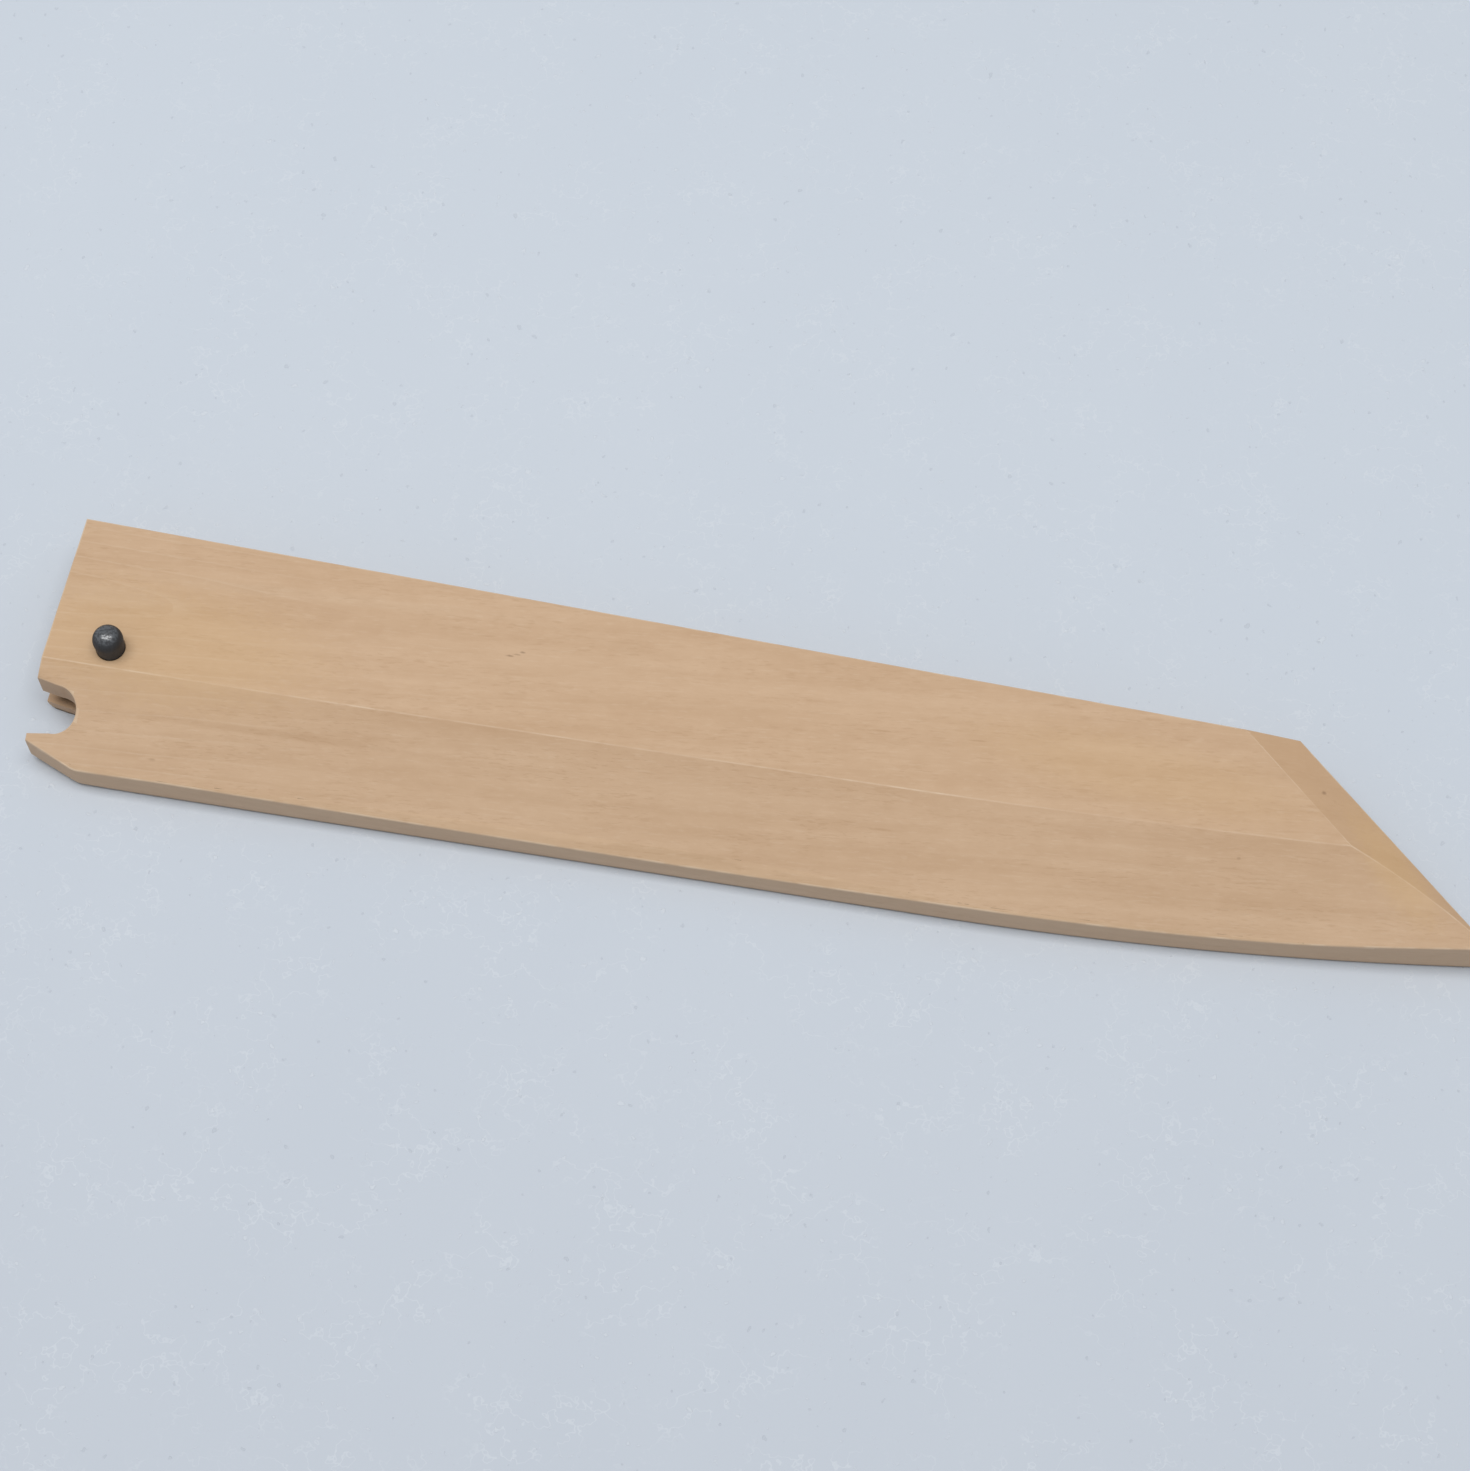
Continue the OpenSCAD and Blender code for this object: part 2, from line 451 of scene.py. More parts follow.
    def columns(self) -> Array:
        """Where the blank's sections are taken, closer where its outline turns.

        Returns:
            Places along from the mouth, in rising order.
        """
        taper, slope = math.radians(self.edge_taper), math.radians(self.spur_slope)
        heel_from = self.heel_setback - self.heel_round * math.sin(slope)
        heel_to = self.heel_setback + self.heel_round * math.sin(taper)
        stops = (self.rim_steps[-1], heel_from, heel_to, self.belly_start, self.bevel_along,
                 self.spine_length, self.ridge_end, self.length)
        parts = [np.linspace(start, stop, count)
                 for start, stop, count in zip(stops, stops[1:], self.section_counts)]
        return np.unique(np.round(np.concatenate([self.rim_steps, *parts]), 6))

    def section_rows(self, along: Array) -> Array:
        """Places across for each section: close rows at the arrises and creases, even ones between.

        Args:
            along: Places of the sections.

        Returns:
            One row of places across for each section, in rising order.
        """
        start, stop = self.spine(along), self.edge(along)
        ease = np.minimum(self.rim_steps, (stop - start)[:, None] / 2)
        around = np.array([-1.0, -0.5, 0.0, 0.5, 1.0]) * self.arris
        first, last = start + ease[:, -1], stop - ease[:, -1]
        crease = np.where(along > self.bevel_along, self.bevel_line(along), first)
        ridge = np.where(along < self.ridge_end, self.ridge(along), crease)
        between = np.linspace(0, 1, self.rows_between + 2)[1:-1]
        rows = [start[:, None] + ease, crease[:, None] + around, ridge[:, None] + around]
        for near, far in ((first, crease), (crease, ridge), (ridge, last)):
            rows.append(near[:, None] + (far - near)[:, None] * between)
        rows.append(stop[:, None] - ease)
        across = np.clip(np.concatenate(rows, axis=1), start[:, None], stop[:, None])
        return np.sort(across, axis=1)

    def place(self, along: Array, across: Array, height: Array) -> Array:
        """Puts plan places and heights in the row frame, whose origin is under the middle."""
        return np.stack([along - self.length / 2, self.spine_side - across, height], axis=-1)

    def spot(self, along: float, across: float, depth: float = 0.0) -> Triple:
        """Gives one place at a depth below the flat front, in metres in the row frame."""
        place = self.place(np.array(along), np.array(across), np.array(self.thickness - depth))
        return tuple((place * MM).tolist())

    def plan_place(self, points: Array) -> tuple[Array, Array]:
        """Gives the places along and across of points in the row frame."""
        return points[:, 0] + self.length / 2, self.spine_side - points[:, 1]

    def make_solid(self) -> Object:
        """Builds the blank as closed sections at places along it.

        Each section runs across the front in rising order and back across the underside, and the
        heights are those of the planed front and of the back with its eased arris.

        Returns:
            The blank, before the notch and the peg's hole are cut.
        """
        columns = self.columns()
        across = self.section_rows(columns)
        along = np.repeat(columns[:, None], across.shape[1], axis=1)
        front = self.place(along, across, self.front_height(along, across))
        back = self.place(along, across, self.arris_drop(along, across, self.back_radius(along)))
        return stack_rings("blank", np.concatenate([front, back[:, ::-1]], axis=1))

    def notch_path(self, spread: float) -> Array:
        """Outline of the notch in plan: two sides that open out, joined by a round end.

        Args:
            spread: How far the outline lies outside the notch.

        Returns:
            Places along and across, one row each.
        """
        end_r = self.notch_end_d / 2
        centre = self.notch_centre
        opening = (self.notch_width / 2 - end_r) / centre[0]
        half = self.notch_width / 2 + self.over * opening + spread
        turn = np.radians(np.linspace(-90, 90, self.notch_points))
        arc = centre + (end_r + spread) * np.stack([np.cos(turn), np.sin(turn)], axis=-1)
        return np.concatenate([[[-self.over, centre[1] - half]], arc, [[-self.over, centre[1] + half]]])

    def make_notch_tool(self) -> Object:
        """Builds the solid that cuts the notch: its outline at four heights.

        The outline spreads at 45 degrees above the front and below the back, which eases the
        notch's arrises by the arris size. Its upper rows follow the lower facet's plane.

        Returns:
            The tool solid.
        """
        beyond = 1.0
        ease = self.arris * self.notch_ease
        wide = ease + beyond
        rings = []
        for spread, on_front, offset in ((wide, 0, -beyond), (0.0, 0, ease),
                                         (0.0, 1, -ease), (wide, 1, beyond)):
            path = self.notch_path(spread)
            height = on_front * self.facet_height(path[:, 0], path[:, 1]) + offset
            rings.append(self.place(path[:, 0], path[:, 1], height))
        return stack_rings("notch_tool", np.stack(rings))

    def notch_gap(self, along: Array, across: Array) -> Array:
        """Distance from the notch's outline in plan, worked out from its round end and opening sides.

        Args:
            along: Places along from the mouth.
            across: Places across from the spine.

        Returns:
            The distance at each place, below 0 inside the notch.
        """
        centre, end_r = self.notch_centre, self.notch_end_d / 2
        opening = (self.notch_width / 2 - end_r) / centre[0]
        half = end_r + opening * np.clip(centre[0] - along, 0, None)
        return np.hypot(np.clip(along - centre[0], 0, None), across - centre[1]) - half

    def arris_share(self, points: Array) -> Array:
        """How near each point lies to an arris or a crease.

        Args:
            points: Places in the row frame, in millimetres.

        Returns:
            1 within the arris size of an arris, the wear and painted highlight number of the place along
            the guard within half of it of a crease, and 0 elsewhere.
        """
        along, across = self.plan_place(points)
        on_front = np.abs(self.front_height(along, across) - points[:, 2])
        rim = np.abs(self.rim_gap(along, across))
        level = np.minimum(on_front, np.abs(points[:, 2]))
        at_rim = np.where(rim < self.arris, rim + level, self.length)
        to_ridge = np.where(along < self.ridge_end, np.abs(across - self.ridge(along)), self.length)
        to_bevel = np.where(along > self.bevel_along, np.abs(across - self.bevel_line(along)), self.length)
        at_crease = np.hypot(np.minimum(to_ridge, to_bevel), on_front)
        crease_wear_and_sheen = np.interp(along, *np.array(self.ridge_wear_and_sheen).T)
        at_notch = np.hypot(self.notch_gap(along, across), on_front)
        at_rim = np.minimum(at_rim, np.where(along < self.notch_depth + self.arris, at_notch, self.length))
        return np.where(at_rim < self.arris, 1, np.where(at_crease * 2 < self.arris, crease_wear_and_sheen, 0))

    def ridge_shade_share(self, points: Array) -> Array:
        """Painted shade on the lower facet: 1 just under the ridge, less towards the edge side, where it
        turns to painted light.

        Args:
            points: Places in the row frame, in millimetres.

        Returns:
            That share on the lower facet, down to -0.8 at the edge side, and 0 elsewhere.
        """
        along, across = self.plan_place(points)
        below = across - self.ridge(along)
        side = np.clip(self.edge(along) - self.ridge(along), 1, None)
        return np.clip(below / self.arris, 0, 1) * (1 - self.flank_fall * np.clip(below / side, 0, 1))

    def bevel_share(self, points: Array) -> Array:
        """Tells how much the tip bevel cuts across the fibres: 1 at the spine, half at the point.

        Args:
            points: Places in the row frame, in millimetres.

        Returns:
            That share on the bevel, 0 elsewhere.
        """
        along, across = self.plan_place(points)
        inside = (along > self.bevel_along) & (across < self.bevel_line(along))
        on_front = np.abs(self.front_height(along, across) - points[:, 2]) < self.arris / 2
        run = np.clip((along - self.bevel_along) / (self.length - self.bevel_along), 0, 1)
        share = 1 - (1 - self.bevel_point_share) * run
        return np.where(inside & on_front & (self.rim_gap(along, across) > -self.arris), share, 0)


@dataclass
class Wiring:
    """Adds nodes to a node tree and joins them, so that a finish reads as a short recipe."""

    tree: NodeTree

    def fill(self, node: Node, inputs: dict[str | int, object]) -> Node:
        """Links a node's inputs to sockets, or sets their own values.

        Args:
            node: The node.
            inputs: The socket or the value for each input, by its name or number.

        Returns:
            The same node.
        """
        for name, value in inputs.items():
            if isinstance(value, Socket):
                self.tree.links.new(value, node.inputs[name])
            else:
                node.inputs[name].default_value = value
        return node

    def add(self, kind: str, inputs: dict[str | int, object], **settings: object) -> Node:
        """Adds a node.

        Args:
            kind: Name of the node's type.
            inputs: The socket or the value for each input, by its name or number.
            settings: The node's settings by name.

        Returns:
            The node.
        """
        made = self.tree.nodes.new(kind)
        for name, value in settings.items():
            setattr(made, name, value)
        return self.fill(made, inputs)

    def math(self, operation: str, *values: object, clamp: bool = False) -> Socket:
        """Works out one number from others, kept between 0 and 1 if it is clamped."""
        made = self.add("ShaderNodeMath", dict(enumerate(values)), operation=operation, use_clamp=clamp)
        return made.outputs[0]

    def times(self, first: object, second: object) -> Socket:
        """Multiplies two numbers."""
        return self.math("MULTIPLY", first, second)

    def vector(self, operation: str, *values: object) -> Socket:
        """Works out a vector from others, or a number for a length or a dot product."""
        made = self.add("ShaderNodeVectorMath", dict(enumerate(values)), operation=operation)
        return made.outputs["Value" if operation in ("LENGTH", "DOT_PRODUCT") else "Vector"]

    def part(self, vector: object, x: float = 0.0, y: float = 0.0, z: float = 0.0) -> Socket:
        """Takes the part of a vector along an axis."""
        return self.vector("DOT_PRODUCT", vector, (x, y, z))

    def fade(self, value: object, start: float, stop: float, low: float = 0.0, high: float = 1.0) -> Socket:
        """Fades smoothly from low to high as the value goes from start to stop."""
        given = {"Value": value, "From Min": start, "From Max": stop, "To Min": low, "To Max": high}
        return self.add("ShaderNodeMapRange", given, interpolation_type="SMOOTHSTEP").outputs["Result"]

    def noise(self, place: object, stretch: Triple, detail: float = 2.0, roughness: float = 0.5) -> Socket:
        """Makes noise of about 0.5 that repeats about that many times per metre on each axis.

        Args:
            place: The place.
            stretch: The repeats per metre on each axis.
            detail: How many finer layers are added.
            roughness: How strong the finer layers are.

        Returns:
            The noise.
        """
        scaled = self.vector("MULTIPLY", place, stretch)
        given = {"Vector": scaled, "Scale": 1.0, "Detail": detail, "Roughness": roughness}
        return self.add("ShaderNodeTexNoise", given, noise_dimensions="3D").outputs["Fac"]

    def mix(self, share: object, first: object, second: object) -> Socket:
        """Mixes two colours: the share tells how much of the second one shows."""
        given = {MIX_SHARE: share, MIX_FIRST: first, MIX_SECOND: second}
        return self.add("ShaderNodeMix", given, data_type="RGBA", blend_type="MIX").outputs[MIX_RESULT]

    def tint(self, colour: object, layers: Iterable[tuple[Socket, float, Colour]]) -> Socket:
        """Lays one colour after another over a colour.

        Args:
            colour: The colour underneath.
            layers: Where each layer shows, how strongly, and its colour as seen on a screen.

        Returns:
            The colour with all layers on it.
        """
        for share, strength, seen in layers:
            colour = self.mix(self.times(share, strength), colour, srgb(*seen))
        return colour

    def view(self, turn: Triple, centre: Triple = (0.0, 0.0, 0.0)) -> Socket:
        """Reads the place on the object as seen from a turned frame.

        Args:
            turn: The frame's turns about X, Y and Z, in degrees.
            centre: The frame's origin, in metres.

        Returns:
            The place in that frame.
        """
        turns = [math.radians(angle) for angle in turn]
        given = {"Vector": self.place(), "Location": centre, "Rotation": turns}
        return self.add("ShaderNodeMapping", given, vector_type="TEXTURE").outputs["Vector"]

    def group(self, tree: NodeTree, **inputs: object) -> dict[str, Socket]:
        """Places a shared node group and gives its outputs by name."""
        return {socket.name: socket for socket in self.add("ShaderNodeGroup", inputs, node_tree=tree).outputs}

    def relief(self, height: Socket, depth: float, strength: float) -> Socket:
        """Gives the normal of a fine relief, whose depth is in millimetres."""
        given = {"Height": height, "Distance": depth * MM, "Strength": strength}
        return self.add("ShaderNodeBump", given).outputs["Normal"]

    def attribute(self, name: str) -> Socket:
        """Reads one of the piece's own numbers."""
        return self.add("ShaderNodeAttribute", {}, attribute_name=name).outputs["Fac"]

    def place(self) -> Socket:
        """Reads the place on the object, in metres."""
        return self.add("ShaderNodeTexCoord", {}).outputs["Object"]


def make_group(name: str, inputs: dict[str, str], outputs: dict[str, str]) -> tuple[
        NodeTree, Wiring, Node, Node]:
    """Starts a shader node group with named sockets.

    Args:
        name: Name of the group.
        inputs: Name and socket type of each input.
        outputs: Name and socket type of each output.

    Returns:
        The group, a wiring for it, its input node and its output node.
    """
    group = bpy.data.node_groups.new(name, "ShaderNodeTree")
    for direction, sockets in (("INPUT", inputs), ("OUTPUT", outputs)):
        for label, kind in sockets.items():
            group.interface.new_socket(name=label, in_out=direction, socket_type=kind)
    wiring = Wiring(group)
    return group, wiring, wiring.add("NodeGroupInput", {}), wiring.add("NodeGroupOutput", {})


def start_material(name: str) -> tuple[Material, Wiring, Node]:
    """Starts a material.

    Args:
        name: Name of the material.

    Returns:
        The material, a wiring for its nodes and its shader.
    """
    material = bpy.data.materials.new(name)
    material.use_nodes = True
    return material, Wiring(material.node_tree), material.node_tree.nodes["Principled BSDF"]


def group_growth_rings() -> NodeTree:
    """Growth rings round a pith that runs nearly along the wood.

    The ring number is the distance from the local X axis over the ring spacing, moved a little by
    long noise. Early is a thin pale line at the start of each ring, Late a soft dark one at its
    end, and Band a slow swell over each.

    Returns:
        The group.
    """
    group, wiring, given, put = make_group(
        "growth_rings", {"Vector": VECTOR, "Spacing": NUMBER, "Wobble": NUMBER},
        {"Early": NUMBER, "Late": NUMBER, "Band": NUMBER})
    flat = wiring.vector("MULTIPLY", given.outputs["Vector"], (0.0, 1.0, 1.0))
    distance = wiring.math("DIVIDE", wiring.vector("LENGTH", flat), given.outputs["Spacing"])
    sway = wiring.noise(given.outputs["Vector"], (9.0, 55.0, 55.0), detail=3.0)
    sway = wiring.times(wiring.math("SUBTRACT", sway, 0.5), given.outputs["Wobble"])
    ring = wiring.math("ADD", distance, sway)
    share = wiring.math("FRACT", ring)
    late = wiring.times(wiring.fade(share, 0.66, 0.95), wiring.fade(share, 0.95, 1.0, 1.0, 0.0))
    swell = wiring.math("SINE", wiring.times(ring, math.pi))
    wiring.fill(put, {"Late": late, "Early": wiring.fade(share, 0.0, 0.14, 1.0, 0.0),
                      "Band": wiring.math("ABSOLUTE", swell)})
    return group


def group_fibres() -> NodeTree:
    """Fibres of the wood, all long noise stretched along the grain.

    Fibre is a fine even streaking, Pore is short dark dashes that gather in patches, Fleck is short
    pale dashes, Cloud is a broad slow change of tone, Mottle a small one, and Streak a long band.

    Returns:
        The group.
    """
    group, wiring, given, put = make_group(
        "fibres", {"Vector": VECTOR},
        {"Fibre": NUMBER, "Pore": NUMBER, "Fleck": NUMBER, "Cloud": NUMBER, "Mottle": NUMBER,
         "Streak": NUMBER})
    place = given.outputs["Vector"]
    moved = wiring.vector("ADD", place, (0.31, 0.17, 0.05))
    for label, source, grain, detail, roughness in (
            ("Fibre", place, (160.0, 1900.0, 1900.0), 3.0, 0.6),
            ("Cloud", moved, (14.0, 90.0, 90.0), 3.0, 0.55),
            ("Mottle", place, (190.0, 330.0, 330.0), 4.0, 0.65),
            ("Streak", moved, (16.0, 420.0, 420.0), 3.0, 0.55)):
        wiring.fill(put, {label: wiring.noise(source, grain, detail, roughness)})
    patch = wiring.fade(wiring.noise(place, (45.0, 260.0, 260.0), detail=2.0), 0.34, 0.62)
    dash = wiring.fade(wiring.noise(place, (420.0, 2700.0, 2700.0), detail=2.0), 0.54, 0.68)
    fleck = wiring.fade(wiring.noise(moved, (380.0, 2500.0, 2500.0), detail=2.0), 0.56, 0.70)
    wiring.fill(put, {"Pore": wiring.times(dash, patch), "Fleck": fleck})
    return group


def group_mark() -> NodeTree:
    """A mark in the wood: 1 at the middle, fading out beyond its size with a ragged rim.

    The distance is the length of the place over the size, axis by axis, moved by fine noise.

    Returns:
        The group.
    """
    group, wiring, given, put = make_group(
        "mark", {"Vector": VECTOR, "Size": VECTOR, "Ragged": NUMBER}, {"Mark": NUMBER})
    wander = wiring.noise(given.outputs["Vector"], (900.0, 1500.0, 1500.0))
    shares = wiring.vector("DIVIDE", given.outputs["Vector"], given.outputs["Size"])
    ragged = wiring.times(wander, given.outputs["Ragged"])
    distance = wiring.math("ADD", wiring.vector("LENGTH", shares), ragged)
    wiring.fill(put, {"Mark": wiring.fade(distance, 0.6, 1.5, 1.0, 0.0)})
    return group


class MarkKind(Enum):
    """What a mark in the wood is, with the name of its colour in the finish."""

    PIN_KNOT = "knot"
    DARK_STREAK = "line"
    PALE_STREAK = "rubbed"
    HONEY_PATCH = "honey"

    @property
    def ragged(self) -> float:
        """How ragged the mark's rim is."""
        return 1.0 if self is MarkKind.PIN_KNOT else 0.6


@dataclass(frozen=True)
class Mark:
    """One mark in the wood: its plan place, its half size and its turn, in millimetres and degrees."""

    kind: MarkKind
    along: float
    across: float
    long: float
    wide: float
    strength: float
    turn: float = 0.0


# The marks that the photograph shows, by their places on the blank.
MARKS = (
    Mark(MarkKind.HONEY_PATCH, 20.0, 22.0, 34.0, 14.0, 0.3),
    Mark(MarkKind.HONEY_PATCH, 243.0, 20.5, 15.0, 5.0, 0.36, -49.0),
    Mark(MarkKind.HONEY_PATCH, 196.0, 12.0, 34.0, 8.0, 0.2, -3.0),
    Mark(MarkKind.PIN_KNOT, 82.4, 12.0, 1.0, 0.3, 0.5),
    Mark(MarkKind.PIN_KNOT, 83.6, 11.5, 1.0, 0.24, 0.35),
    Mark(MarkKind.PIN_KNOT, 84.5, 10.9, 0.7, 0.34, 0.5),
    Mark(MarkKind.PIN_KNOT, 23.2, 42.4, 1.1, 0.5, 0.4),
    Mark(MarkKind.PIN_KNOT, 229.1, 9.3, 0.66, 0.54, 0.5),
    Mark(MarkKind.PIN_KNOT, 216.2, 24.3, 0.5, 0.3, 0.25),
    Mark(MarkKind.PALE_STREAK, 45.0, 7.2, 40.0, 1.5, 0.14, 4.3),
    Mark(MarkKind.PALE_STREAK, 8.0, 14.5, 15.0, 2.6, 0.16, 3.4),
    Mark(MarkKind.DARK_STREAK, 42.0, 34.4, 38.0, 0.8, 0.26, 2.8),
    Mark(MarkKind.DARK_STREAK, 103.0, 6.0, 6.0, 1.8, 0.16, 5.0),
    Mark(MarkKind.DARK_STREAK, 150.8, 13.3, 2.2, 0.22, 0.5, 6.0),
    Mark(MarkKind.DARK_STREAK, 167.7, 11.8, 2.0, 0.22, 0.5, 6.0),
    Mark(MarkKind.DARK_STREAK, 154.0, 30.8, 2.4, 0.25, 0.4, 4.0),
)


@dataclass(frozen=True)
class PlanedWood:
    """Finish of the bare, finely planed wood.

    Lengths are in millimetres and turns in degrees. The first figure of the grain fades along the
    guard from figure_from to figure_to, which are places on the X axis in metres.
    """

    name: str
    pale: Colour = (214, 182, 149)
    deep: Colour = (195, 160, 125)
    line: Colour = (178, 141, 104)
    cut_end: Colour = (193, 158, 122)
    # Pale colour of early wood, flecks and pale streaks, also laid on the arrises as rub with a painted
    # highlight.
    rubbed: Colour = (222, 197, 168)
    wall_sheen: Colour = (205, 183, 162)
    # Paler, greyer colour laid on upright faces as a painted sheen.
    knot: Colour = (112, 80, 56)
    honey: Colour = (212, 175, 124)
    # Colour of the painted contact shadow at the foot of upright faces.
    foot_shadow: Colour = (104, 90, 76)
    # Colour of the painted shade deep inside the slot.
    slot_shade: Colour = (88, 68, 48)
    fibre_turn: float = 7.0
    pith_turn: float = 3.4
    pith_dive: float = 4.15
    fibre_dive: float = 1.0
    pith_place: Triple = (17.6, 14.6, 6.0)
    ring_spacing: float = 3.0
    figure_from: float = -0.107
    figure_to: float = -0.075
    figure_rest: float = 0.25
    ring_wobble: float = 1.5
    tones: tuple[tuple[str, float], ...] = (
        ("Cloud", 0.7), ("Mottle", 0.7), ("Band", 0.06), ("Fibre", 0.28), ("Streak", 0.9))
    tone_level: float = 0.83
    # Strength of the painted shade under the ridge, laid by the flank number.
    flank_shade: float = 0.15
    # Heights in millimetres where the painted contact shadow starts and where it is full.
    foot_top: float = 1.1
    foot_full: float = 0.3
    # How far in from the notch's round end and from the mouth the slot's painted shade starts and is full, in
    # millimetres.
    notch_unshaded: tuple[float, float] = (0.9, 1.9)
    mouth_unshaded: tuple[float, float] = (1.2, 3.6)
    slot_strength: float = 0.85
    mark_depth: float = 12.0
    roughness: float = 0.58
    marks: tuple[Mark, ...] = ()

    def make(self, blank: Blank, groups: dict[str, NodeTree]) -> Material:
        """Builds the material.

        Args:
            blank: The blank that the wood is planed from, for the places of its marks.
            groups: The shared node groups, by name.

        Returns:
            The material.
        """
        material, wiring, shader = start_material(self.name)
        place = wiring.place()
        grain = wiring.group(groups["fibres"], Vector=wiring.view((0.0, self.fibre_dive, self.fibre_turn)))
        pith = wiring.view((0.0, self.pith_dive, self.pith_turn), blank.spot(*self.pith_place))
        grain |= wiring.group(groups["growth_rings"], Vector=pith, Wobble=self.ring_wobble,
                              Spacing=self.ring_spacing * MM)
        # Painted shade just under the ridge on the lower facet, and painted light towards the edge side.
        tone = wiring.times(wiring.attribute("flank"), -self.flank_shade)
        for label, weight in self.tones:
            tone = wiring.math("MULTIPLY_ADD", grain[label], weight, tone)
        tone = wiring.math("SUBTRACT", tone, self.tone_level, clamp=True)
        along = wiring.part(place, x=1.0)
        figure = wiring.fade(along, self.figure_from, self.figure_to, 1.0, self.figure_rest)
        late = wiring.times(grain["Late"], wiring.fade(grain["Cloud"], 0.65, 0.4, 0.0, 0.08))
        ends, walls = wiring.attribute("end_grain"), wiring.attribute("wall")
        # Painted contact shadow: upright faces go darker over their lowest millimetre, towards the floor.
        foot = wiring.fade(wiring.part(place, z=1.0), self.foot_top * MM, self.foot_full * MM)
        layers = [
            (wiring.times(late, figure), 1.0, self.line),
            (wiring.times(grain["Early"], figure), 0.2, self.rubbed),
            (grain["Pore"], 0.25, self.line),
            (grain["Fleck"], 0.16, self.rubbed),
            (ends, 0.6, self.cut_end),
            # painted sheen: upright faces are turned paler and greyer
            (walls, 0.28, self.wall_sheen),
            # painted contact shadow along the foot of the walls
            (wiring.times(walls, foot), 0.9, self.foot_shadow),
            # rubbed arrises, with a painted highlight where they catch the light
            (self.rub_and_sheen(wiring), 1.0, self.rubbed),
            # painted shade deep inside the slot
            (self.slot_shade_share(wiring, blank), 1.0, self.slot_shade),
        ]
        for mark in self.marks:
            seen = wiring.view((0.0, 0.0, mark.turn), blank.spot(mark.along, mark.across))
            size = (mark.long * MM, mark.wide * MM, self.mark_depth * MM)
            share = wiring.group(groups["mark"], Vector=seen, Size=size, Ragged=mark.kind.ragged)["Mark"]
            layers.append((share, mark.strength, getattr(self, mark.kind.value)))
        colour = wiring.mix(tone, srgb(*self.deep), srgb(*self.pale))
        gloss = wiring.math("MULTIPLY_ADD", grain["Fibre"], 0.12, self.roughness - 0.06)
        height = wiring.math("SUBTRACT", grain["Fibre"], wiring.times(grain["Pore"], 0.8))
        wiring.fill(shader, {"Base Color": wiring.tint(colour, layers), "Specular IOR Level": 0.35,
                             "Roughness": wiring.math("MULTIPLY_ADD", ends, 0.12, gloss),
                             "Normal": wiring.relief(height, depth=0.03, strength=0.5)})
        return material

    def rub_and_sheen(self, wiring: Wiring) -> Socket:
        """Rubbed arrises with a painted highlight: the piece's own arris number, broken up along its length.

        Args:
            wiring: Wiring of the material.

        Returns:
            Mask of the rubbed wood and its painted highlight.
        """
        patchy = wiring.noise(wiring.place(), (240.0, 240.0, 240.0), detail=4.0)
        broken = wiring.fade(patchy, 0.36, 0.66, 0.22, 0.85)
        return wiring.times(wiring.attribute("arris"), broken)

    def slot_shade_share(self, wiring: Wiring, blank: Blank) -> Socket:
        """Painted shade inside the slot: its faces go dark from a little way in from the mouth and notch.

        Args:
            wiring: Wiring of the material.
            blank: The blank, for the place of its mouth and notch.

        Returns:
            Mask of the painted shade.
        """
        place = wiring.place()
        moved = wiring.vector("SUBTRACT", place, blank.spot(*blank.notch_centre))
        level = wiring.vector("MULTIPLY", moved, (1.0, 1.0, 0.0))
        past = wiring.vector("LENGTH", wiring.vector("MAXIMUM", level, (0.0, -1.0, 0.0)))
        near, far = (np.array(self.notch_unshaded) + blank.notch_end_d / 2) * MM
        from_notch = wiring.fade(past, float(near), float(far))
        near, far = (np.array(self.mouth_unshaded) - blank.length / 2) * MM
        from_mouth = wiring.fade(wiring.part(place, x=1.0), float(near), float(far), 0.0, self.slot_strength)
        return wiring.times(wiring.attribute("slot"), wiring.times(from_notch, from_mouth))


@dataclass(frozen=True)
class TurnedBlack:
    """Finish of the peg: near black, turned, with a soft uneven gloss. Lengths are in millimetres."""

    name: str = "turned_black"
    dark: Colour = (28, 27, 28)
    light: Colour = (49, 48, 49)
    roughness: float = 0.6
    polish: float = 0.15
    polish_from: float = 0.9
    polish_full: float = 0.35
    turning_marks: float = 24000.0

    def make(self, peg: RetainingPeg) -> Material:
        """Builds the material, which is polished on the top of the dome.

        Args:
            peg: The peg, for the place of its axis and its dome.

        Returns:
            The material.
        """
        material, wiring, shader = start_material(self.name)
        place = wiring.vector("SUBTRACT", wiring.place(), (peg.axis[0] * MM, peg.axis[1] * MM, 0.0))
        blotch = wiring.noise(place, (700.0, 700.0, 500.0), detail=4.0, roughness=0.6)
        mottle = wiring.fade(blotch, 0.35, 0.75)
        height = wiring.part(place, z=1.0)
        top = wiring.fade(height, (peg.rim_height + self.polish_from) * MM,
                          (peg.top_height - self.polish_full) * MM)
        gloss = wiring.math("MULTIPLY_ADD", top, -self.polish, self.roughness)
        chatter = wiring.noise(place, (2400.0, 2400.0, 1500.0), detail=2.0)
        flat = wiring.vector("LENGTH", wiring.vector("MULTIPLY", place, (1.0, 1.0, 0.0)))
        rings = wiring.math("SINE", wiring.times(wiring.math("ADD", flat, height), self.turning_marks))
        blotches = wiring.math("MULTIPLY_ADD", chatter, 0.6, blotch)
        surface = wiring.math("MULTIPLY_ADD", rings, 0.03, blotches)
        wiring.fill(shader, {
            "Base Color": wiring.mix(mottle, srgb(*self.dark), srgb(*self.light)),
            "Roughness": wiring.math("MULTIPLY_ADD", mottle, 0.1, gloss),
            "Specular IOR Level": 0.55, "Coat Roughness": 0.17, "Coat IOR": 1.85,
            "Coat Weight": wiring.times(top, wiring.fade(chatter, 0.38, 0.6, 0.15, 1.0)),
            "Normal": wiring.relief(surface, depth=0.2, strength=0.45)})
        return material


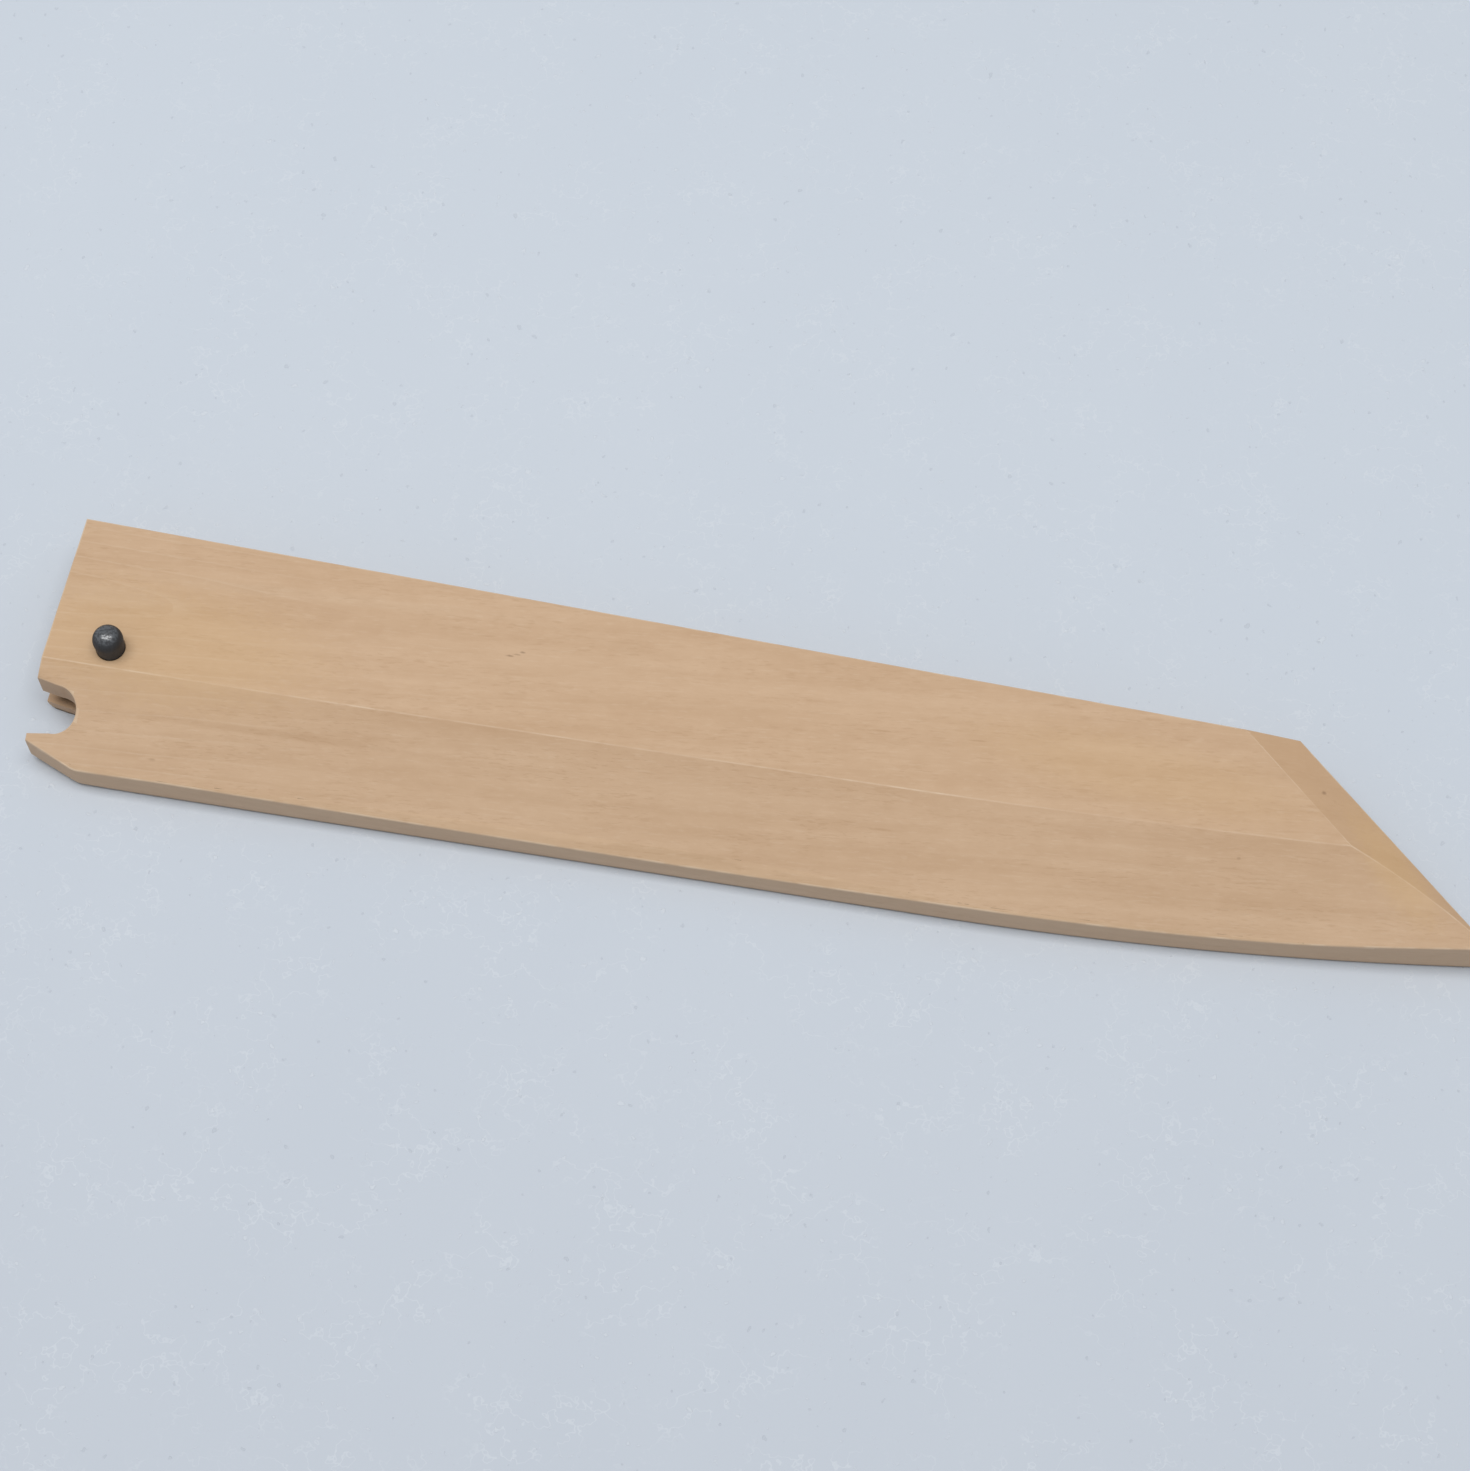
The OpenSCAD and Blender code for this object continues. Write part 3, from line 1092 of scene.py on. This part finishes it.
@dataclass(frozen=True)
class PaintedFloor:
    """Finish of the pale blue-grey floor, with faint scuffs and a painted shade that darkens it towards the
    front.
    """

    name: str = "pale_floor"
    paint: Colour = (209, 217, 226)
    scuff: Colour = (170, 178, 188)
    bare: Colour = (222, 228, 234)
    # Colour of the painted shade on the front part of the floor, nearer the camera.
    near: Colour = (201, 208, 217)
    near_from: float = 0.12
    near_to: float = -0.2

    def make(self) -> Material:
        """Builds the material.

        Returns:
            The material.
        """
        material, wiring, shader = start_material(self.name)
        place = wiring.place()
        # Painted shade: the floor goes darker towards the front, the camera's side.
        floor_shade_share = wiring.fade(wiring.part(place, y=1.0), self.near_from, self.near_to)
        cloud = wiring.fade(wiring.noise(place, (22.0, 9.0, 1.0), detail=4.0), 0.3, 0.7)
        patch = wiring.fade(wiring.noise(place, (70.0, 70.0, 1.0), detail=2.0), 0.4, 0.62)
        path = wiring.noise(place, (160.0, 160.0, 1.0), detail=3.0, roughness=0.6)
        away = wiring.math("ABSOLUTE", wiring.math("SUBTRACT", path, 0.5))
        scratch = wiring.times(wiring.fade(away, 0.004, 0.014, 1.0, 0.0), patch)
        moved = wiring.vector("ADD", place, (3.7, 1.9, 0.0))
        pits = wiring.fade(wiring.noise(moved, (520.0, 520.0, 1.0), detail=2.0), 0.66, 0.74)
        specks = wiring.fade(wiring.noise(place, (620.0, 520.0, 1.0), detail=2.0), 0.70, 0.76)
        layers = ((floor_shade_share, 1.0, self.near), (cloud, 0.08, self.bare), (scratch, 0.4, self.bare),
                  (pits, 0.4, self.bare), (specks, 0.22, self.scuff))
        surface = wiring.math("SUBTRACT", pits, specks)
        wiring.fill(shader, {"Base Color": wiring.tint(srgb(*self.paint), layers), "Roughness": 0.62,
                             "Specular IOR Level": 0.25,
                             "Normal": wiring.relief(surface, depth=0.15, strength=0.5)})
        return material


@dataclass
class WoodPiece:
    """One piece of wood: the part of the blank that lies in its layer and its plan."""

    blank: Blank
    node: str
    slot: str
    finish: Material
    upright_below: float = 0.5
    layer_room: float = 0.01
    sharp_from: float = 35.0

    def heights(self) -> tuple[float, float]:
        """Lowest and highest of the piece's layer."""
        low, high = span_mm(self.node)
        return float(low[2]), float(high[2])

    def plan(self) -> Array:
        """Draws the part of its layer that the piece fills, with room outside the blank.

        Returns:
            Places along and across, one row each.
        """
        over, far = self.blank.over, self.blank.width + self.blank.over
        end = self.blank.length + over
        return np.array([[-over, -over], [end, -over], [end, far], [-over, far]])

    def make_layer_tool(self) -> Object:
        """Builds the solid that the piece is cut out with: its plan at two heights.

        Returns:
            The tool solid.
        """
        plan = self.plan()
        rings = [self.blank.place(plan[:, 0], plan[:, 1], np.full(len(plan), height))
                 for height in self.heights()]
        return stack_rings(self.node + "_layer", np.stack(rings))

    def build(self, planed: Object) -> Object:
        """Cuts the piece from the planed blank, dresses it and puts it in the node's place.

        Args:
            planed: The blank with the notch and the peg's hole in it.

        Returns:
            The finished piece.
        """
        piece = bpy.data.objects.new(self.node + "_wood", planed.data.copy())
        bpy.context.scene.collection.objects.link(piece)
        tool = self.make_layer_tool()
        shape_with(piece, tool, Cut.KEEP_INSIDE)
        bpy.data.objects.remove(tool)
        tidy_mesh(piece.data)
        self.mark(piece.data)
        self.smooth(piece)
        piece.data.materials.clear()
        piece.data.materials.append(self.finish)
        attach(piece, "sheath")
        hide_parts(self.node)
        return piece

    def mark(self, mesh: Mesh) -> None:
        """Gives the mesh its own numbers: arris, end grain, wall and slot by face, flank by point.

        End grain is how squarely a face cuts across the length, and the tip bevel counts as well,
        because it is cut across the fibres. Wall is 1 where a face stands upright, and slot where
        it closes the slot or the glue line. Flank is a painted shade just under the ridge, which
        turns to painted light towards the edge side.

        Args:
            mesh: The piece's mesh.
        """
        centres = read_rows(mesh.polygons, "center") / MM
        normals = read_rows(mesh.polygons, "normal")
        points = read_rows(mesh.vertices, "co") / MM
        upright = np.abs(normals[:, 2]) < self.upright_below
        ends = np.maximum(np.abs(normals[:, 0]) * upright, self.blank.bevel_share(centres))
        to_layer = np.abs(centres[:, 2:] - np.array(self.heights())).min(axis=1)
        for name, domain, values in (
                ("end_grain", "FACE", ends), ("arris", "FACE", self.blank.arris_share(centres)),
                ("wall", "FACE", upright), ("slot", "FACE", to_layer < self.layer_room),
                ("flank", "POINT", self.blank.ridge_shade_share(points))):
            mesh.attributes.new(name, "FLOAT", domain).data.foreach_set("value", values.astype(np.float32))

    def smooth(self, piece: Object) -> None:
        """Shades curves smooth and flats flat.

        Args:
            piece: The piece.
        """
        smooth_up_to(piece.data, self.sharp_from)
        even = piece.modifiers.new("even_normals", "WEIGHTED_NORMAL")
        even.keep_sharp = True
        even.weight = 80


@dataclass
class FrontBoard(WoodPiece):
    """The thick board with the planed front."""

    def heights(self) -> tuple[float, float]:
        """From the slot's front side to above the wood."""
        return float(span_mm(self.node)[0][2]), self.blank.thickness + self.blank.over


@dataclass
class BackBoard(WoodPiece):
    """The thin flat board that the guard lies on."""

    def heights(self) -> tuple[float, float]:
        """From below the wood to the slot's back side."""
        return -self.blank.over, float(span_mm(self.node)[1][2])


@dataclass
class CorePiece(WoodPiece):
    """A strip or block of the middle layer, beside the closed tip."""

    tip_block_w: float = 9.0

    def block_line(self, across: Array) -> Array:
        """Inner line of the tip block, along from the mouth, at each place across.

        Args:
            across: Places across from the spine.

        Returns:
            Place of the line along from the mouth, at each place across.
        """
        blank = self.blank
        heading = math.atan2(blank.tip_across, blank.tip_run)
        start = blank.spine_length - self.tip_block_w / math.sin(heading)
        return start + across / math.tan(heading)


@dataclass
class SpineStrip(CorePiece):
    """Straight strip of the core, behind the blade's spine."""

    def plan(self) -> Array:
        """Draws a long strip whose far end lies on the tip block.

        Returns:
            Places along and across, one row each.
        """
        low, high = span_mm(self.node)
        sides = np.array([-self.blank.over, high[1] - low[1]])
        ends = self.block_line(sides)
        return np.array([[-self.blank.over, sides[0]], [ends[0], sides[0]],
                         [ends[1], sides[1]], [-self.blank.over, sides[1]]])


@dataclass
class EdgeStrip(CorePiece):
    """Bowed strip of the core, in front of the cutting edge."""

    strip_w: float = 4.8
    bow_points: int = 160

    def plan(self) -> Array:
        """Draws everything outside the strip's inner side, as far as the tip block.

        Returns:
            Places along and across, one row each.
        """
        blank = self.blank
        along = np.linspace(-blank.over, blank.length, self.bow_points)
        inner = blank.edge(along, self.strip_w)
        kept = along < self.block_line(inner)
        curve = np.stack([along[kept], inner[kept]], axis=-1)
        far = blank.width + blank.over
        last = np.interp(0, along - self.block_line(inner), along)
        last_across = blank.edge(np.array([last]), self.strip_w)
        corner = [[last, last_across[0]], [self.block_line(np.array(far)), far], [-blank.over, far]]
        return np.concatenate([curve, corner])


@dataclass
class TipBlock(CorePiece):
    """Block of the core that closes the slot along the angled tip."""

    def plan(self) -> Array:
        """Draws everything beyond the block's inner line.

        Returns:
            Places along and across, one row each.
        """
        over, far = self.blank.over, self.blank.width + self.blank.over
        sides = np.array([-over, far])
        near = self.block_line(sides)
        end = self.blank.length + self.blank.width
        return np.array([[near[0], sides[0]], [end, sides[0]], [end, sides[1]], [near[1], sides[1]]])


@dataclass
class RetainingPeg:
    """The turned peg, a surface of revolution, in millimetres."""

    axis: Array
    end_height: float
    top_height: float
    front_height: float
    head_d: float
    end_d: float = 3.4
    dome: float = 2.0
    shoulder: float = 0.6
    dome_power: float = 0.91
    end_ease: float = 0.3
    clearance: float = 0.05
    around: int = 72
    ease_points: int = 6
    taper_points: int = 20
    dome_points: int = 28
    sharp_from: float = 40.0

    @property
    def rim_height(self) -> float:
        """Height where the taper ends and the dome starts."""
        return self.top_height - self.dome

    def taper_radius(self, height: Array) -> Array:
        """Radius of the peg's taper at each height."""
        share = (height - self.end_height) / (self.rim_height - self.end_height)
        return (self.end_d + (self.head_d - self.end_d) * share) / 2

    def profile(self) -> Array:
        """Outline of the peg, from the thin end to the top of the dome.

        The end is eased by a quarter circle and the taper is straight. The dome starts a shoulder
        below its rim, as a curve a little fuller than an oval, which ends on the axis.

        Returns:
            Radius and height, one row each.
        """
        quarter = np.radians(np.linspace(0, 90, self.ease_points))
        end_r = self.end_d / 2
        ease = np.stack([end_r - self.end_ease * (1 - np.sin(quarter)),
                         self.end_height + self.end_ease * (1 - np.cos(quarter))], axis=-1)
        heights = np.linspace(self.end_height + self.end_ease, self.rim_height - self.shoulder,
                              self.taper_points)[1:]
        taper = np.stack([self.taper_radius(heights), heights], axis=-1)
        turn = np.radians(np.linspace(0, 90, self.dome_points))[1:]
        rise = self.dome + self.shoulder
        dome = np.stack([taper[-1, 0] * np.cos(turn) ** self.dome_power,
                         heights[-1] + rise * np.sin(turn) ** self.dome_power], axis=-1)
        dome[-1, 0] = 0.0
        start = np.array([[0.0, self.end_height]])
        return np.concatenate([start, ease, taper, dome])

    def revolve(self, name: str, profile: Array) -> Object:
        """Turns a profile round the peg's axis.

        Args:
            name: Name of the object.
            profile: Radius and height, one row each.

        Returns:
            The closed solid.
        """
        turn = np.linspace(0, 2 * np.pi, self.around, endpoint=False)
        radius, height = profile[:, :1], profile[:, 1:]
        points = np.stack([self.axis[0] + radius * np.cos(turn), self.axis[1] + radius * np.sin(turn),
                           np.repeat(height, self.around, axis=1)], axis=-1)
        return stack_rings(name, points)

    def make_hole_tool(self, ease: float) -> Object:
        """Builds the solid that cuts the peg's hole, which spreads at both faces of the wood.

        Args:
            ease: How far the hole's rims are eased.

        Returns:
            The tool solid.
        """
        beyond = 1.0
        heights = np.array([0.0, self.front_height])
        radii = self.taper_radius(heights) + self.clearance
        profile = np.array([[radii[0] + ease + beyond, -beyond], [radii[0], ease],
                            [radii[1], self.front_height - ease],
                            [radii[1] + ease + beyond, self.front_height + beyond]])
        return self.revolve("hole_tool", profile)

    def build(self, finish: Material) -> Object:
        """Builds the peg, dresses it and puts it in its node's place.

        Args:
            finish: The peg's material.

        Returns:
            The finished peg.
        """
        peg = self.revolve("peg_turned", self.profile())
        smooth_up_to(peg.data, self.sharp_from)
        peg.data.materials.append(finish)
        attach(peg, "peg")
        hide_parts("retaining_peg")
        return peg


@dataclass
class Studio:
    """The floor, the lamps, the world and the camera, in metres and degrees."""

    floor_half: float = 3.0
    floor_cells: int = 8
    floor_below: float = 0.00003
    camera_place: Triple = (0.04437, -0.24218, 0.54495)
    camera_tilt: float = 25.297
    camera_turn: float = 11.527
    camera_lens: float = 81.04
    camera_sensor: float = 36.0
    camera_near: float = 0.01
    key_place: Triple = (-0.2, 0.04, 1.6)
    key_size: tuple[float, float] = (1.8, 0.75)
    key_power: float = 17.9
    sky: Colour = (244, 246, 250)
    sky_strength: float = 0.4

    def lay_floor(self) -> None:
        """Lays the floor, a flat grid just under the guard."""
        half = self.floor_half / MM
        count = self.floor_cells + 1
        side = np.linspace(-half, half, count)
        across, along = np.meshgrid(side, side, indexing="ij")
        points = np.stack([along, across, np.full(along.shape, -self.floor_below / MM)], axis=-1)
        row, place = np.meshgrid(np.arange(count - 1), np.arange(count - 1), indexing="ij")
        here = row * count + place
        faces = np.stack([here, here + 1, here + count + 1, here + count], axis=-1).reshape(-1, 4).tolist()
        floor = new_object("floor", points.reshape(-1, 3), faces)
        floor.data.materials.append(PaintedFloor().make())

    def hang_lamp(self) -> None:
        """Hangs the wide soft lamp, which faces straight down."""
        light = bpy.data.lights.new("key_lamp", "AREA")
        light.shape = "RECTANGLE"
        light.size, light.size_y = self.key_size
        light.energy = self.key_power
        lamp = bpy.data.objects.new("key_lamp", light)
        lamp.location = self.key_place
        bpy.context.scene.collection.objects.link(lamp)

    def light_world(self) -> None:
        """Lights the world: an even sky for the object, and a pale backdrop for the camera."""
        world = bpy.data.worlds.new("studio")
        world.use_nodes = True
        bpy.context.scene.world = world
        wiring = Wiring(world.node_tree)
        sky = world.node_tree.nodes["Background"]
        wiring.fill(sky, {"Color": srgb(*self.sky), "Strength": self.sky_strength})
        backdrop = wiring.add("ShaderNodeBackground", {"Color": srgb(*PaintedFloor().paint)})
        rays = wiring.add("ShaderNodeLightPath", {}).outputs
        seen = wiring.math("MAXIMUM", rays["Is Camera Ray"], rays["Is Glossy Ray"])
        seen = wiring.math("MAXIMUM", seen, rays["Is Transmission Ray"])
        both = wiring.add("ShaderNodeMixShader", {0: seen, 1: sky.outputs[0], 2: backdrop.outputs[0]})
        wiring.fill(world.node_tree.nodes["World Output"], {"Surface": both.outputs[0]})

    def set_camera(self) -> None:
        """Sets the camera where the photograph was taken from."""
        data = bpy.data.cameras.new("camera")
        data.lens = self.camera_lens
        data.sensor_width = self.camera_sensor
        data.sensor_fit = "HORIZONTAL"
        data.clip_start = self.camera_near
        camera = bpy.data.objects.new("camera", data)
        camera.location = self.camera_place
        camera.rotation_euler = (math.radians(self.camera_tilt), 0.0, math.radians(self.camera_turn))
        bpy.context.scene.collection.objects.link(camera)
        bpy.context.scene.camera = camera

    def build(self) -> None:
        """Builds the floor, the lamps, the world and the camera."""
        self.lay_floor()
        self.hang_lamp()
        self.light_world()
        self.set_camera()
        bpy.context.scene.view_settings.view_transform = "Standard"


def measure_blank() -> Blank:
    """Takes the blank's overall sizes from the frame.

    Returns:
        The blank.
    """
    back_low, back_high = span_mm("back_board")
    thickness = span_mm("front_board")[1][2]
    return Blank(length=float(back_high[0] - back_low[0]), width=float(back_high[1] - back_low[1]),
                 thickness=float(thickness), spine_side=float(back_high[1]))


def measure_peg(blank: Blank) -> RetainingPeg:
    """Takes the peg's place and overall sizes from the frame.

    Args:
        blank: The blank that the peg goes through.

    Returns:
        The peg.
    """
    low, high = span_mm("retaining_peg")
    return RetainingPeg(axis=(low[:2] + high[:2]) / 2, end_height=float(low[2]), top_height=float(high[2]),
                        front_height=blank.thickness, head_d=float(high[0] - low[0]))


def build_guard() -> list[Object]:
    """Builds every piece of the guard.

    Returns:
        The finished pieces.
    """
    blank = measure_blank()
    peg = measure_peg(blank)
    groups = {"growth_rings": group_growth_rings(), "fibres": group_fibres(), "mark": group_mark()}
    board_wood = PlanedWood("board_wood", marks=MARKS).make(blank, groups)
    core_wood = PlanedWood("core_wood", pale=(211, 179, 145), deep=(192, 158, 123)).make(blank, groups)
    planed = blank.make_solid()
    for tool in (blank.make_notch_tool(), peg.make_hole_tool(blank.arris / 2)):
        shape_with(planed, tool, Cut.TAKE_AWAY)
        bpy.data.objects.remove(tool)
    pieces = [
        FrontBoard(blank, "front_board", "board_wood", board_wood).build(planed),
        BackBoard(blank, "back_board", "board_wood", board_wood).build(planed),
        SpineStrip(blank, "spine_strip", "core_wood", core_wood).build(planed),
        EdgeStrip(blank, "edge_strip", "core_wood", core_wood).build(planed),
        TipBlock(blank, "tip_block", "core_wood", core_wood).build(planed),
        peg.build(TurnedBlack().make(peg)),
    ]
    bpy.data.objects.remove(planed)
    return pieces


def main() -> None:
    """Builds the guard and the studio."""
    logging.basicConfig(level=logging.INFO, format="%(name)s: %(message)s")
    for piece in build_guard():
        log.info("%s: %d points, %d faces", piece.name, len(piece.data.vertices), len(piece.data.polygons))
    Studio().build()


if __name__ == "__main__":
    main()
